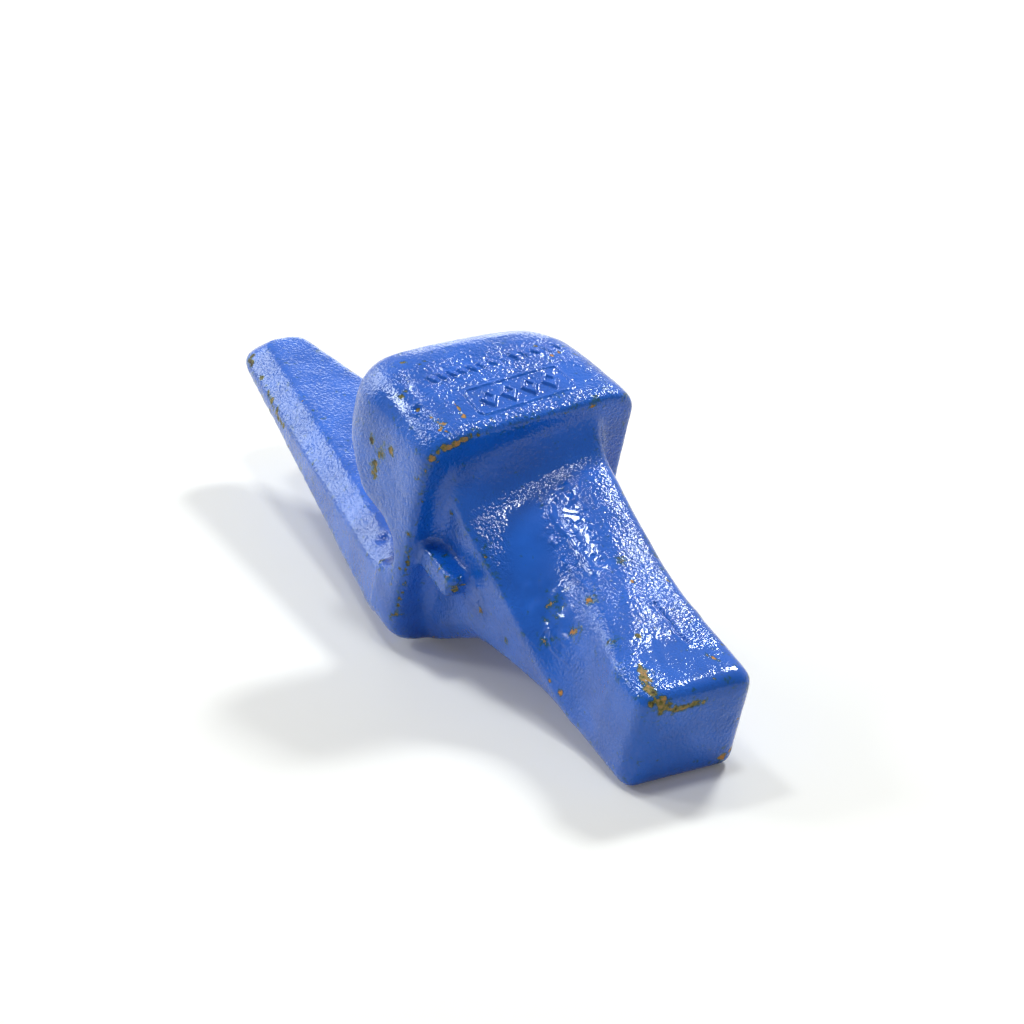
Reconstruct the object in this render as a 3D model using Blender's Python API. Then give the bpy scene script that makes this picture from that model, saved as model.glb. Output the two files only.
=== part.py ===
# Bucket tooth adapter: one steel casting with a welding fork and a twist-on nose.
# Units are metres. The casting frame has its origin at the middle of the flange's top
# front edge, +X towards the nose tip, +Y to the side, +Z up across the bucket lip.
# At the end the casting is tipped on to its heel and nose tip, as it lies on a bench.
from math import cos, hypot, pi, radians, sin, sqrt, tan

import bmesh
import bpy
import numpy as np
from mathutils import Matrix, Vector

# Shank: the flange with the hood behind it
SHANK_WIDTH = 0.0864
SHANK_HEIGHT = 0.1060
TOP_CORNER = 0.0125
HEEL_CORNER = 0.0170
TOP_CROWN = 0.0026
TOP_TILT = radians(4.8)
TOP_RISE = 0.0032
TOP_FADE = 1.5
HEEL_BOW = 0.0010
HOOD_DRIFT = 0.0048
FRONT_ROLL = 0.0080
FRONT_LIP_DROP = 0.0020
HEEL_EDGE_ROUND = 0.0062
HOOD_REACH = 0.0615
HOOD_REAR_DROP = 0.0280
HOOD_SEAT_ANGLE = radians(45)
HOOD_REAR_ROUND = 0.0210
HOOD_PLAN_ROUND = 0.0200
HOOD_FOOT_ROUND = 0.0090
HOOD_CORNER = 0.0235
SEAT_CORNER = 0.005

# Slot that takes the bucket lip
THROAT_RADIUS = 0.009
THROAT_WALL = 0.008
THROAT_DEPTH = 0.063
THROAT_ROOF_STEP = 0.001
LIP_SEAT_DEPTH = 0.0662
LIP_SEAT_ANGLE = radians(14.5)

# Strap: the leg welded under the lip
STRAP_LENGTH = 0.1935
STRAP_ROOT = 0.0165
STRAP_ROOT_WIDTH = 0.0846
STRAP_END_WIDTH = 0.0290
STRAP_END_THICKNESS = 0.0121
STRAP_UNDER_ANGLE = radians(9.2)
STRAP_END_ROUND = 0.0135
STRAP_LAP = 0.009
LAP_SHIFT = 0.0006
WELD_BEVEL = 0.0082
STRAP_UNDER_BEVEL = 0.0014

# Nose: six-cornered section that twists from the root to the square tip
NOSE_LENGTH = 0.1295
NOSE_TIP_WIDTH = 0.0450
NOSE_TIP_HEIGHT = 0.0440
NOSE_ROOT_WIDTH = 0.0642
NOSE_TIP_DROP = 0.0312
NOSE_RISE = 0.128
NOSE_FACE_LEAN = radians(2.4)
NOSE_SWELL = 0.0115
NOSE_SWELL_REACH = 0.050
STABILISER_LENGTH = 0.033
RIDGE_START = 0.0235
RIDGE_TWIST = 0.47
RIDGE_ROUND = 0.0025
RIDGE_FADE = 4
CROWN_END = 0.107
CROWN_TWIST = 0.42
CROWN_ROUND_GROWTH = 0.35
NOSE_EDGE_ROUND = 0.0058
NOSE_FACE_ROUND = 0.0055

# Root: the nose flares out where it meets the flange
ROOT_RADIUS_SIDE = 0.006
ROOT_REACH_SIDE = 0.0045
ROOT_RADIUS_TOP = 0.016
TOP_RIM = 0.0005
UNDER_RIM = 0.0030
WEB_START = 0.0290
WEB_SOFTNESS = 0.003

# Locking lugs beside the nose root
LUG_LENGTH = 0.0225
LUG_HEIGHT = 0.0105
LUG_WIDTH = 0.0055
LUG_DROP = 0.0545
LUG_ROUND = 0.0014
LUG_END_LEAN = radians(-12)

PAINT_BLUE = (0.030, 0.100, 0.480, 1.0)
PAINT_ROUGHNESS = 0.32
PAINT_METALLIC = 0.0

ARC_STEPS = 5
CROWN_STEPS = 9
SPANS = 6
TWIST_SPANS = 6
FACE_STEPS = 3
LEAST_ROUND = 0.0003
ROOT_STATIONS = 8
BODY_STATIONS = 15
EMBED = 0.008
MERGE_DISTANCE = 2e-5
CROWN_CORNERS = (2, 5)


def clear_scene():
    for item in list(bpy.data.objects):
        bpy.data.objects.remove(item, do_unlink=True)


def paint():
    material = bpy.data.materials.new("blue_paint")
    material.use_nodes = True
    shader = material.node_tree.nodes["Principled BSDF"]
    shader.inputs["Base Color"].default_value = PAINT_BLUE
    shader.inputs["Roughness"].default_value = PAINT_ROUGHNESS
    shader.inputs["Metallic"].default_value = PAINT_METALLIC
    return material


def new_object(name, vertices, faces):
    mesh = bpy.data.meshes.new(name)
    mesh.from_pydata([tuple(map(float, point)) for point in vertices], [], faces)
    mesh.validate()
    solid = bpy.data.objects.new(name, mesh)
    bpy.context.collection.objects.link(solid)
    face_outwards(mesh)
    return solid


def face_outwards(mesh):
    work = bmesh.new()
    work.from_mesh(mesh)
    bmesh.ops.recalc_face_normals(work, faces=work.faces)
    work.to_mesh(mesh)
    work.free()


def strap_top(x):
    return -LIP_SEAT_DEPTH + tan(LIP_SEAT_ANGLE) * x


def strap_bottom(x):
    end_bottom = strap_top(-STRAP_LENGTH) - STRAP_END_THICKNESS
    return end_bottom + tan(STRAP_UNDER_ANGLE) * (x + STRAP_LENGTH)


def rounded_corner(before, corner, after, radius, steps):
    """Points of an arc of the given radius that touches both sides of a corner."""
    before, corner, after = (np.asarray(point, float) for point in (before, corner, after))
    along_in = (before - corner) / np.linalg.norm(before - corner)
    along_out = (after - corner) / np.linalg.norm(after - corner)
    half_angle = np.arccos(np.clip(along_in @ along_out, -1, 1)) / 2
    longest = 0.49 * min(np.linalg.norm(before - corner), np.linalg.norm(after - corner))
    tangent = min(radius / tan(half_angle), longest)
    radius = tangent * tan(half_angle)
    middle = (along_in + along_out) / np.linalg.norm(along_in + along_out)
    centre = corner + middle * radius / sin(half_angle)
    start = corner + along_in * tangent - centre
    side = corner + along_out * tangent - centre
    sweep = np.arctan2(start[0] * side[1] - start[1] * side[0], start @ side)
    turns = np.linspace(0, sweep, steps + 1)
    turned = [(cos(t) * start[0] - sin(t) * start[1], sin(t) * start[0] + cos(t) * start[1])
              for t in turns]
    return [centre + np.array(point) for point in turned]


def inward_normals(points):
    """Unit normals of a closed loop, pointing into it: each side's normal, averaged."""
    sides = np.roll(points, -1, axis=0) - points
    area = np.sum(points[:, 0] * np.roll(points[:, 1], -1) - np.roll(points[:, 0], -1) * points[:, 1])
    turn = 1 if area > 0 else -1
    normals = np.stack([-sides[:, 1], sides[:, 0]], axis=1) * turn
    normals /= np.linalg.norm(normals, axis=1)[:, None]
    both = normals + np.roll(normals, 1, axis=0)
    return both / (1e-9 + np.sum(both * normals, axis=1))[:, None]


def loft(name, rings):
    """A solid skinned over rings of equal length, closed by a face at each end."""
    count = len(rings[0])
    vertices = [point for ring in rings for point in ring]
    faces = []
    for row in range(len(rings) - 1):
        for column in range(count):
            follower = (column + 1) % count
            low, high = row * count, (row + 1) * count
            faces.append((low + column, low + follower, high + follower, high + column))
    faces.append(tuple(range(count)))
    faces.append(tuple(range((len(rings) - 1) * count, len(rings) * count)))
    return new_object(name, vertices, faces)


def quarter_inset(run, radius):
    """Inset of a quarter round where run is the distance left to its end."""
    u = min(max(1 - run / radius, 0), 1)
    return radius * (1 - sqrt(1 - u * u))


def front_inset(x):
    """Inset near the flange: a quarter ellipse, gentle over the faces and crisp at the lip."""
    u = min(max(1 + x / FRONT_ROLL, 0), 1)
    return FRONT_LIP_DROP * (1 - sqrt(1 - u * u))


def throat_roof():
    return -THROAT_DEPTH + THROAT_RADIUS - THROAT_ROOF_STEP


def seat_foot():
    """Distance behind the flange at which the slanted lip seat leaves the throat's roof."""
    return HOOD_REACH - (-HOOD_REAR_DROP - throat_roof()) / tan(HOOD_SEAT_ANGLE)


def hood_seat(x):
    """Underside of the hood: a flat roof over the throat, then the slanted lip seat."""
    return throat_roof() + tan(HOOD_SEAT_ANGLE) * max(-seat_foot() - x, 0)


def shank_section(x, tall):
    """Front view outline at x: a four-cornered frame, crowned on top and bowed at the heel.
    Tall sections reach the heel; the others end at the hood's underside. Towards the lip the
    top's crown turns into a rise to one side, and the hood's rear lies to the other side."""
    front, rear = front_inset(x), HOOD_REACH + x
    half = SHANK_WIDTH / 2 - front - quarter_inset(rear, HOOD_PLAN_ROUND)
    top = -front - quarter_inset(rear, HOOD_REAR_ROUND)
    share = max(-x / HOOD_REACH, 0) ** 2
    top_corner = TOP_CORNER + (HOOD_CORNER - TOP_CORNER) * share - front
    if tall:
        heel_share = -x / (THROAT_WALL + THROAT_RADIUS)
        heel = strap_bottom(x) + LAP_SHIFT + HEEL_BOW
        low = quarter_inset(-x, HEEL_EDGE_ROUND) - SHANK_HEIGHT
        low += (heel + SHANK_HEIGHT) * heel_share
        low_corner = HEEL_CORNER + (SEAT_CORNER - HEEL_CORNER) * heel_share - front
        bow = HEEL_BOW
    else:
        low = hood_seat(x) + quarter_inset(rear, HOOD_FOOT_ROUND)
        low_corner, bow = SEAT_CORNER, 0.0
    corners = [(-half, low), (-half, top), (half, top), (half, low)]
    radii = [low_corner, top_corner, top_corner, low_corner]
    points = []
    for index, (corner, radius) in enumerate(zip(corners, radii)):
        before, after = corners[index - 1], corners[(index + 1) % 4]
        points.extend(rounded_corner(before, corner, after, radius, ARC_STEPS))
        if index in (1, 3):
            points.extend(spans(points[-1], after, radius))
    points = np.array(points)
    middle = (top + low) / 2
    centred = np.clip(1 - (points[:, 0] / half) ** 2, 0, 1)
    near_lip = (rear / HOOD_REACH) ** TOP_FADE
    crown = TOP_CROWN * (centred - 1) * (1 - near_lip)
    crown += (TOP_RISE + tan(TOP_TILT) * points[:, 0]) * near_lip
    raised = np.where(points[:, 1] > middle, crown, -bow * centred)
    drift = HOOD_DRIFT * max(-x / HOOD_REACH, 0) ** 2
    return np.stack([points[:, 0] - drift, points[:, 1] + raised], axis=1)


def spans(start, corner, radius):
    """Points that split the long side between two arcs, for its crown."""
    side = 1 if corner[0] > start[0] else -1
    end = corner[0] - side * radius
    return [np.array([start[0] + (end - start[0]) * step / SPANS, start[1]])
            for step in range(1, SPANS)]


def shank_stations():
    """Distances behind the flange face with whether the section there is a tall one."""
    quarter = [pi / 2 * step / ARC_STEPS for step in range(ARC_STEPS + 1)]
    front = [(-FRONT_ROLL * (1 - cos(angle)), True) for angle in quarter]
    throat = THROAT_WALL + THROAT_RADIUS
    wall = [(-throat, True), (-throat - LAP_SHIFT, False)]
    start = HOOD_REACH - HOOD_PLAN_ROUND
    foot = seat_foot()
    hood = [(-(throat + foot) / 2, False), (-foot, False)]
    rear = [(-start - HOOD_PLAN_ROUND * sin(angle), False) for angle in quarter]
    return front + wall + hood + rear


def shank():
    """Front view outlines skinned from the flange face back to the rounded rear of the hood."""
    rings = []
    for x, tall in shank_stations():
        rings.append([(x, y, z) for y, z in shank_section(x, tall)])
    return loft("shank", rings)


def strap_plan():
    """Top view of the strap: a taper with a blunt round end, and a tongue inside the shank."""
    root, end = STRAP_ROOT_WIDTH / 2, STRAP_END_WIDTH / 2
    side = [(-STRAP_ROOT + STRAP_LAP, root - STRAP_LAP), (-STRAP_ROOT, root)]
    corner, across = (-STRAP_LENGTH, end), (-STRAP_LENGTH, -end)
    side += rounded_corner(side[-1], corner, across, STRAP_END_ROUND, ARC_STEPS)
    return side + [(x, -y) for x, y in reversed(side)]


def strap():
    """The plan drawn down through the leg, cut by the sloping top and bottom planes, bevelled."""
    plan = strap_plan()
    levels = (2 * strap_bottom(-STRAP_LENGTH), 0.0)
    solid = loft("strap", [[(x, y, level) for x, y in plan] for level in levels])
    work = bmesh.new()
    work.from_mesh(solid.data)
    slice_plane(work, (0, 0, strap_top(0)), (-sin(LIP_SEAT_ANGLE), 0, cos(LIP_SEAT_ANGLE)))
    slice_plane(work, (0, 0, strap_bottom(0)), (sin(STRAP_UNDER_ANGLE), 0, -cos(STRAP_UNDER_ANGLE)))
    bevel_rim(work, 1, WELD_BEVEL)
    bevel_rim(work, -1, STRAP_UNDER_BEVEL)
    work.to_mesh(solid.data)
    work.free()
    face_outwards(solid.data)
    return solid


def slice_plane(work, point, normal):
    """Cut away what lies beyond a plane and close the cut."""
    geometry = work.verts[:] + work.edges[:] + work.faces[:]
    cut = bmesh.ops.bisect_plane(work, geom=geometry, plane_co=point, plane_no=normal,
                                 clear_outer=True, dist=MERGE_DISTANCE / 20)
    rim = [part for part in cut["geom_cut"] if isinstance(part, bmesh.types.BMEdge)]
    bmesh.ops.holes_fill(work, edges=rim, sides=0)


def bevel_rim(work, facing, width):
    """Flat chamfer along the strap's sides and end: facing 1 is the lip side's weld bevel."""
    work.normal_update()
    cap = max(work.faces, key=lambda face: facing * face.normal.z * face.calc_area())
    front = -STRAP_ROOT - MERGE_DISTANCE
    rim = [edge for edge in cap.edges if min(v.co.x for v in edge.verts) < front]
    bmesh.ops.bevel(work, geom=rim, offset=width, offset_type="OFFSET", segments=1,
                    profile=0.5, affect="EDGES", clamp_overlap=False)


def nose_axis(x):
    return -NOSE_TIP_DROP + NOSE_RISE * (x - NOSE_LENGTH)


def nose_half_width(x):
    straight = NOSE_LENGTH - STABILISER_LENGTH
    share = min(max(x / straight, 0), 1)
    return (NOSE_ROOT_WIDTH + (NOSE_TIP_WIDTH - NOSE_ROOT_WIDTH) * share) / 2


def nose_half_height(x):
    """Tip half height plus a swell towards the root that falls off like a bell."""
    return NOSE_TIP_HEIGHT / 2 + NOSE_SWELL * np.exp(-(max(x, 0) / NOSE_SWELL_REACH) ** 2)


def nose_corners(x, inset):
    """Half of the six-cornered section at x: corner points about the axis with their radii.
    The ridge falls and the crown edge moves outwards at a constant rate, which is the twist.
    The inset draws the whole section in, as the rounded edge of the tip face needs."""
    wide, high = nose_half_width(x) - inset, nose_half_height(x) - inset
    edge = max(NOSE_EDGE_ROUND - inset, LEAST_ROUND)
    split = edge * (2 - sqrt(2))
    ridge = max(RIDGE_START - RIDGE_TWIST * max(x, 0), -high + split)
    crown = max(-NOSE_TIP_WIDTH / 2 + CROWN_TWIST * (CROWN_END - max(x, 0)), -wide)
    crown = min(crown, wide - NOSE_EDGE_ROUND * 2)
    merged = min(max((ridge + high) / split - 1, 0) / RIDGE_FADE, 1)
    ridge_round = edge + (RIDGE_ROUND - NOSE_EDGE_ROUND) * merged
    crown_round = edge + CROWN_ROUND_GROWTH * max(CROWN_END - x, 0)
    return [((-wide + split, -high), edge),
            ((-wide, ridge), ridge_round),
            ((crown, high), crown_round)]


def nose_section(x, inset=0.0):
    """Closed section at x: three rounded corners and their twins, turned half round the axis.
    The side from each ridge to its crown edge twists, so it is split into short spans."""
    half = nose_corners(x, inset)
    corners = half + [((-point[0], -point[1]), radius) for point, radius in half]
    arcs = []
    for index, (corner, radius) in enumerate(corners):
        before, after = corners[index - 1][0], corners[(index + 1) % 6][0]
        steps = CROWN_STEPS if index in CROWN_CORNERS else ARC_STEPS
        arcs.append(rounded_corner(before, corner, after, radius, steps))
    points = []
    for index, arc in enumerate(arcs):
        if index in CROWN_CORNERS:
            start = arcs[index - 1][-1]
            points.extend(start + (arc[0] - start) * step / TWIST_SPANS for step in range(1, TWIST_SPANS))
        points.extend(arc)
    return np.array(points)


def flare(points, x):
    """Root fillets: sides and top follow circles, the underside a softened straight web."""
    outward = -inward_normals(points)
    length = np.linalg.norm(outward, axis=1)
    across, upward = outward[:, 0] / length, outward[:, 1] / length
    lip = TOP_RISE - FRONT_LIP_DROP
    top_reach = lip - TOP_RIM - (nose_axis(0) + nose_half_height(0))
    side = circle_flare(x, ROOT_RADIUS_SIDE, ROOT_REACH_SIDE)
    top = circle_flare(x, ROOT_RADIUS_TOP, top_reach)
    web = web_flare(x)
    moved = points.copy()
    moved[:, 0] += side * across * np.abs(across)
    moved[:, 1] += top * np.clip(upward, 0, 1) ** 2 - web * np.clip(-upward, 0, 1) ** 2
    return moved


def circle_flare(x, radius, reach):
    """Outward step of a round fillet at distance x from the flange, reach being its most."""
    run = sqrt(max(2 * radius * reach - reach * reach, 0)) - max(x, 0)
    return radius - sqrt(radius * radius - max(run, 0) ** 2)


def web_flare(x):
    """Downward step of a straight web with a soft start: a hyperbola along two lines."""
    reach = SHANK_HEIGHT - UNDER_RIM + nose_axis(0) - nose_half_height(0)
    run = (WEB_START - max(x, 0)) / 2
    full_run = WEB_START / 2
    far_run = -WEB_START
    rise = run + hypot(run, WEB_SOFTNESS) - far_run - hypot(far_run, WEB_SOFTNESS)
    return reach * rise / (full_run + hypot(full_run, WEB_SOFTNESS))


def nose_stations():
    """Distances along the nose: close together at the root and where the twist ends."""
    root = [WEB_START * (step / ROOT_STATIONS) ** 1.5 for step in range(1, ROOT_STATIONS)]
    body = list(np.linspace(WEB_START, CROWN_END, BODY_STATIONS))
    return [-EMBED, -LAP_SHIFT] + root + body + [NOSE_LENGTH - NOSE_FACE_ROUND]


def nose():
    """Sections skinned along the rising axis; the tip closes with a rounded edge."""
    rings = []
    for x in nose_stations():
        section = flare(nose_section(x), x)
        rings.append(place_section(section, x))
    for step in range(1, FACE_STEPS + 1):
        angle = pi / 2 * step / FACE_STEPS
        inset = NOSE_FACE_ROUND * (1 - cos(angle))
        x = NOSE_LENGTH - NOSE_FACE_ROUND * (1 - sin(angle))
        rings.append(place_section(nose_section(x, inset), x))
    return loft("nose", rings)


def place_section(section, x):
    """Sections lean gradually towards the slope of the tip face."""
    lean = tan(NOSE_FACE_LEAN) * min(max(x, 0) / NOSE_LENGTH, 1) ** 3
    return [(x - lean * z, y, nose_axis(x) + z) for y, z in section]


def lug(side):
    """Bar along the nose axis, flush with the root on one side and proud of it outwards."""
    inner = nose_half_width(LUG_LENGTH) - LUG_WIDTH / 2
    outer = nose_half_width(0) + LUG_WIDTH
    middle = -LUG_DROP
    half = LUG_HEIGHT / 2
    lean = tan(LUG_END_LEAN) * LUG_HEIGHT
    profile = [(-EMBED, middle + half), (LUG_LENGTH - lean, middle + half),
               (LUG_LENGTH, middle - half), (-EMBED, middle - half)]
    rise = [(x, z + NOSE_RISE * x) for x, z in profile]
    rings = [[(x, y, z) for x, z in rise] for y in (inner, outer)]
    solid = loft("lug", rings)
    bevel_all(solid, LUG_ROUND)
    if side < 0:
        solid.data.transform(Matrix.Scale(-1, 4, (0, 1, 0)))
        face_outwards(solid.data)
    return solid


def bevel_all(solid, width):
    work = bmesh.new()
    work.from_mesh(solid.data)
    bmesh.ops.bevel(work, geom=work.edges[:], offset=width, offset_type="OFFSET", segments=2,
                    profile=0.5, affect="EDGES", clamp_overlap=True)
    work.to_mesh(solid.data)
    work.free()


def throat_cutter():
    """Round relief at the bottom of the lip slot, drawn right across the casting."""
    centre = np.array([-THROAT_WALL - THROAT_RADIUS, -THROAT_DEPTH])
    steps = 8 * ARC_STEPS
    turns = [2 * pi * (step + 0.5) / steps for step in range(steps)]
    round_points = [centre + THROAT_RADIUS * np.array([cos(turn), sin(turn)]) for turn in turns]
    rings = [[(x, y, z) for x, z in round_points] for y in (-SHANK_WIDTH, SHANK_WIDTH)]
    return loft("throat_cutter", rings)


def combine(target, tool, operation):
    """Boolean of two solids, applied, after which the tool is removed."""
    step = target.modifiers.new(operation.lower(), "BOOLEAN")
    step.operation = operation
    step.solver = "EXACT"
    step.object = tool
    bpy.context.view_layer.update()
    graph = bpy.context.evaluated_depsgraph_get()
    joined = bpy.data.meshes.new_from_object(target.evaluated_get(graph))
    target.modifiers.clear()
    target.data = joined
    bpy.data.objects.remove(tool, do_unlink=True)


def clean(solid):
    work = bmesh.new()
    work.from_mesh(solid.data)
    bmesh.ops.remove_doubles(work, verts=work.verts[:], dist=MERGE_DISTANCE)
    bmesh.ops.dissolve_degenerate(work, edges=work.edges[:], dist=MERGE_DISTANCE / 2)
    bmesh.ops.triangulate(work, faces=work.faces[:])
    bmesh.ops.recalc_face_normals(work, faces=work.faces)
    work.to_mesh(solid.data)
    work.free()


def resting_pitch(solid):
    """Angle that brings the lowest points of heel and nose tip to one level."""
    points = np.array([vertex.co[:] for vertex in solid.data.vertices])
    heel = points[points[:, 0] < NOSE_LENGTH / 4]
    tip = points[points[:, 0] > NOSE_LENGTH / 2]
    low, high = 0.0, radians(45)
    for _ in range(40):
        pitch = (low + high) / 2
        lowest = [np.min(cos(pitch) * part[:, 2] - sin(pitch) * part[:, 0]) for part in (heel, tip)]
        if lowest[1] > lowest[0]:
            low = pitch
        else:
            high = pitch
    return pitch


def resting_place(solid):
    """Turn on to heel and nose tip, then centre over the origin at floor level."""
    turn = Matrix.Rotation(resting_pitch(solid), 4, "Y")
    points = np.array([(turn @ vertex.co)[:] for vertex in solid.data.vertices])
    low, high = points.min(axis=0), points.max(axis=0)
    middle = (low + high) / 2
    return Matrix.Translation(Vector((-middle[0], -middle[1], -low[2]))) @ turn


def casting():
    """The whole casting in its own frame: hood and flange, strap, nose, lugs and throat."""
    solid = shank()
    solid.name = "adapter_casting"
    solid.data.name = "adapter_casting"
    combine(solid, strap(), "UNION")
    combine(solid, nose(), "UNION")
    for side in (-1, 1):
        combine(solid, lug(side), "UNION")
    combine(solid, throat_cutter(), "DIFFERENCE")
    clean(solid)
    return solid


def build():
    clear_scene()
    adapter = casting()
    adapter.data.transform(resting_place(adapter))
    adapter.data.materials.clear()
    adapter.data.materials.append(paint())
    adapter.data.shade_smooth()
    adapter.data.set_sharp_from_angle(angle=radians(30))


build()
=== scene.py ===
# %% [markdown]
# # A bucket tooth adapter
# The object is one steel casting that is welded to the lip of a digger's bucket and carries a
# tooth on its nose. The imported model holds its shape. This script gives it what the sand mould,
# the paint brush and the yard gave the real one: grain, runs, raised foundry marks and chips.

from math import cos, pi, radians, sin

import bmesh
import bpy
import numpy as np
from mathutils import Euler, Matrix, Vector
from mathutils.bvhtree import BVHTree


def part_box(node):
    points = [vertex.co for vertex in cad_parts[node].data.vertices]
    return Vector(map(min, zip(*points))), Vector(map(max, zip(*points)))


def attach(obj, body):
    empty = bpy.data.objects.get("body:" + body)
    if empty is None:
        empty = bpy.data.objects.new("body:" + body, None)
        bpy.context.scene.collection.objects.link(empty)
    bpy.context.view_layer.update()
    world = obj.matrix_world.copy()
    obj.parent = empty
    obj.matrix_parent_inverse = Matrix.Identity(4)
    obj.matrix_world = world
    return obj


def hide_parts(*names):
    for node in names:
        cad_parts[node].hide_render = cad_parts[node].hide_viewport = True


MM = 0.001
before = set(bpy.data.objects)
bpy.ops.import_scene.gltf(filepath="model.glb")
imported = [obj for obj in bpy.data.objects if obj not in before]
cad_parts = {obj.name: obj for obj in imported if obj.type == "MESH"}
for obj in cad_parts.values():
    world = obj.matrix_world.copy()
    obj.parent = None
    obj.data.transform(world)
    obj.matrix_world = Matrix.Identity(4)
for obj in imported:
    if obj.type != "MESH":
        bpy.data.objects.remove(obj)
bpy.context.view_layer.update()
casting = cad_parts["adapter_casting"]

# %% [markdown]
# ## Camera
# The camera stands where the photographer stood: to the front left of the nose, a little above
# it, with a long lens, so the edges of the casting hardly converge. Its place was worked out from
# the casting's outline. It comes first, because some marks are placed by where it sees them.

# %% Camera
CAMERA_PLACE = Vector((1.0702, -0.5592, 0.5636))
CAMERA_TURN = Euler([radians(angle) for angle in (66.559, 0.227, 61.403)])
SENSOR_WIDTH = 36.0
LENS_LENGTH = 123.05

camera_data = bpy.data.cameras.new("camera")
camera_data.sensor_width = SENSOR_WIDTH
camera_data.lens = LENS_LENGTH
camera_data.clip_end = 20
camera = bpy.data.objects.new("camera", camera_data)
camera.location = CAMERA_PLACE
camera.rotation_euler = CAMERA_TURN
bpy.context.collection.objects.link(camera)
bpy.context.scene.camera = camera
print("camera stands", round(CAMERA_PLACE.length, 2), "m from the origin")

# %% [markdown]
# ## From the picture to the casting
# A chip or a run of paint has no size in the drawing: it sits where it happened. So its place is
# given in the picture, in pixels, and a ray from the camera finds the point of the casting there.
# From then on it is a point in metres on the surface, and it stays there from every side.

# %% Points seen in the picture
PICTURE_SIZE = 1024


def casting_tree():
    """Search tree over the casting's faces, in metres."""
    work = bmesh.new()
    work.from_mesh(casting.data)
    tree = BVHTree.FromBMesh(work)
    work.free()
    return tree


TREE = casting_tree()


def seen(column, row):
    """Point of the casting behind a pixel: the ray from the camera through it, cut with the faces."""
    pixels_per_unit = LENS_LENGTH / SENSOR_WIDTH * PICTURE_SIZE
    across = (column - PICTURE_SIZE / 2) / pixels_per_unit
    upwards = (PICTURE_SIZE / 2 - row) / pixels_per_unit
    ray = CAMERA_TURN.to_matrix() @ Vector((across, upwards, -1))
    point, _, _, _ = TREE.ray_cast(CAMERA_PLACE, ray.normalized())
    if point is None:
        raise ValueError(f"pixel {column}, {row} is beside the casting")
    return np.array(point)


def seen_path(pixels):
    """Points of the casting behind a chain of pixels."""
    return np.array([seen(column, row) for column, row in pixels])


print("nose tip's upper corner is at", np.round(seen(662, 700) / MM, 1), "mm")

# %% [markdown]
# ## Skin
# The casting came out of a sand mould, so no edge is crisp and no face is quite flat. The packed
# solid is exact and has large triangles. A voxel remesh turns a merged copy of it into an even
# net of small squares that can be moved point by point. Its steps are smoothed away, the net is
# drawn back on to the exact faces, and a second light smoothing rounds the edges. Sculpting by
# hand would do as well, but a remesh gives the same result on each run.

# %% Even net of the casting
VOXEL = 1.25 * MM
STEP_ROUNDS = 5
EDGE_SMOOTH_ROUNDS = 10


def merged_copy(source, name):
    """Copy of a node's mesh with its loose triangles joined."""
    work = bmesh.new()
    work.from_mesh(source.data)
    bmesh.ops.remove_doubles(work, verts=work.verts[:], dist=0.01 * MM)
    mesh = bpy.data.meshes.new(name)
    work.to_mesh(mesh)
    work.free()
    copy = bpy.data.objects.new(name, mesh)
    bpy.context.collection.objects.link(copy)
    return copy


def applied(piece):
    """The piece with its modifiers worked into its mesh."""
    graph = bpy.context.evaluated_depsgraph_get()
    mesh = bpy.data.meshes.new_from_object(piece.evaluated_get(graph))
    piece.modifiers.clear()
    piece.data = mesh
    return piece


def smooth(piece, name, rounds):
    """Each round moves every point half of the way to the mean of its neighbours."""
    rounding = piece.modifiers.new(name, "SMOOTH")
    rounding.factor = 0.5
    rounding.iterations = rounds


exact = merged_copy(casting, "exact_casting")
skin = merged_copy(casting, "casting_skin")
net = skin.modifiers.new("net", "REMESH")
net.mode = "VOXEL"
net.voxel_size = VOXEL
smooth(skin, "steps away", STEP_ROUNDS)
wrap = skin.modifiers.new("back to the faces", "SHRINKWRAP")
wrap.target = exact
wrap.wrap_method = "NEAREST_SURFACEPOINT"
smooth(skin, "soft edges", EDGE_SMOOTH_ROUNDS)
skin = applied(skin)
bpy.data.objects.remove(exact, do_unlink=True)
print("net has", len(skin.data.vertices), "points and", len(skin.data.polygons), "squares")

# %% [markdown]
# ## Finer net where the small marks are
# Thin marks, such as the foundry's raised border or a lip of paint, need points closer together
# than the rest. Splitting every square would make the piece four times heavier, so only the
# squares around those marks are split, and those right at them are split again.

# %% Places of the small marks
PLATE_CORNERS = ((463, 392), (481, 415), (575, 388), (556, 364))
MARK_LINE = ((432, 379), (492, 362), (556, 346))
PAINT_LIP = ((566, 486), (558, 493), (552, 503), (552, 513), (558, 524), (567, 535), (577, 549),
             (586, 562), (594, 573))
CRACK = ((655, 603), (662, 612), (670, 621), (678, 633), (689, 643))
LEDGE = ((551, 538), (557, 550), (564, 561), (573, 573), (582, 583), (591, 590))
CURL = ((541, 636), (545, 630), (552, 629), (549, 639), (552, 650), (558, 656), (568, 663))
DIMPLE = (417, 409)
SHINY_CORNER = (398, 403)
SPLIT_REACHES = (3.2 * MM, 1.9 * MM)
PLATE_REACHES = (9.0 * MM, 6.8 * MM)
CRINKLE_LINE = ((570, 500), (577, 520), (588, 544), (597, 562))
CRINKLE_REACH = 4.6 * MM


def points_of(mesh):
    """Places of the mesh's points, one in each row."""
    points = np.empty(len(mesh.vertices) * 3)
    mesh.vertices.foreach_get("co", points)
    return points.reshape(-1, 3)


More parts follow.
